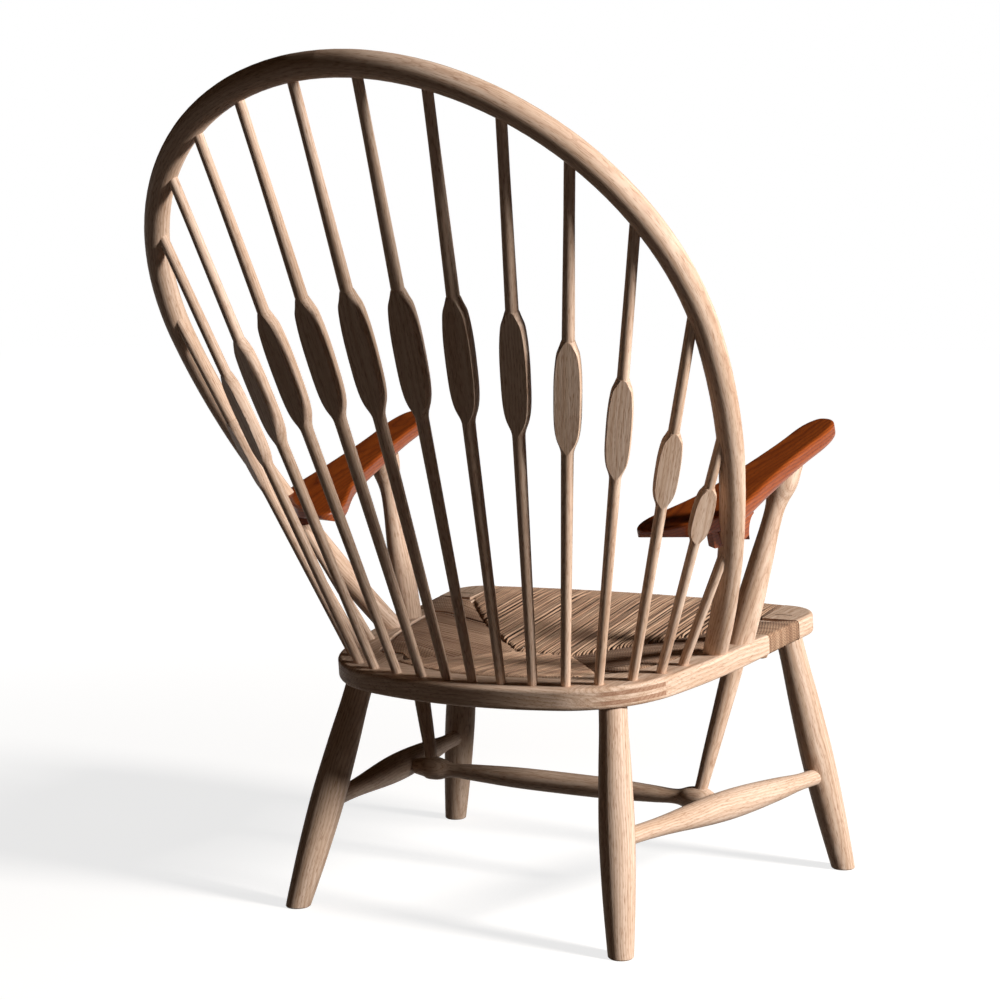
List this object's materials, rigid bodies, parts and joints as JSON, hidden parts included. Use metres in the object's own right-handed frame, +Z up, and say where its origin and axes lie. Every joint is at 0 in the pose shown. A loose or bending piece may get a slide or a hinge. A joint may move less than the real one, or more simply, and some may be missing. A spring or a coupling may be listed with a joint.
{
  "type": "peacock chair",
  "caption": "Low wide spindle armchair with a tall leaning bent hoop back, flat paddles on its spindles, turned legs, wooden armrests and a cord seat.",
  "frame": {"origin": "on the floor, under the middle of the chair's overall width and depth", "axes": "+Z up, -Y the way the sitter faces, +X the sitter's left"},
  "size_m": [0.7546, 0.7933, 1.0353],
  "materials": {
    "oak": "pale, soaped, matte",
    "teak": "oiled, red-brown, satin",
    "paper_cord": "matte twisted paper cord"
  },
  "bodies": {
    "root": {"arm_dowel_left": "oak", "arm_dowel_right": "oak", "arm_post_left": "oak", "arm_post_right": "oak", "armrest_left": "teak", "armrest_right": "teak", "back_hoop": "oak", "cross_stretcher": "oak", "leg_front_left": "oak", "leg_front_right": "oak", "leg_rear_left": "oak", "leg_rear_right": "oak", "leg_wedge_left": "oak", "leg_wedge_right": "oak", "seat_front_rail": "oak", "seat_rear_rail": "oak", "seat_side_rail_left": "oak", "seat_side_rail_right": "oak", "side_stretcher_left": "oak", "side_stretcher_right": "oak", "spindle_left_1": "oak", "spindle_left_2": "oak", "spindle_left_3": "oak", "spindle_left_4": "oak", "spindle_left_5": "oak", "spindle_left_6": "oak", "spindle_left_7": "oak", "spindle_left_8": "oak", "spindle_right_1": "oak", "spindle_right_2": "oak", "spindle_right_3": "oak", "spindle_right_4": "oak", "spindle_right_5": "oak", "spindle_right_6": "oak", "spindle_right_7": "oak", "spindle_right_8": "oak", "woven_seat": "paper_cord"}
  },
  "joints": []
}
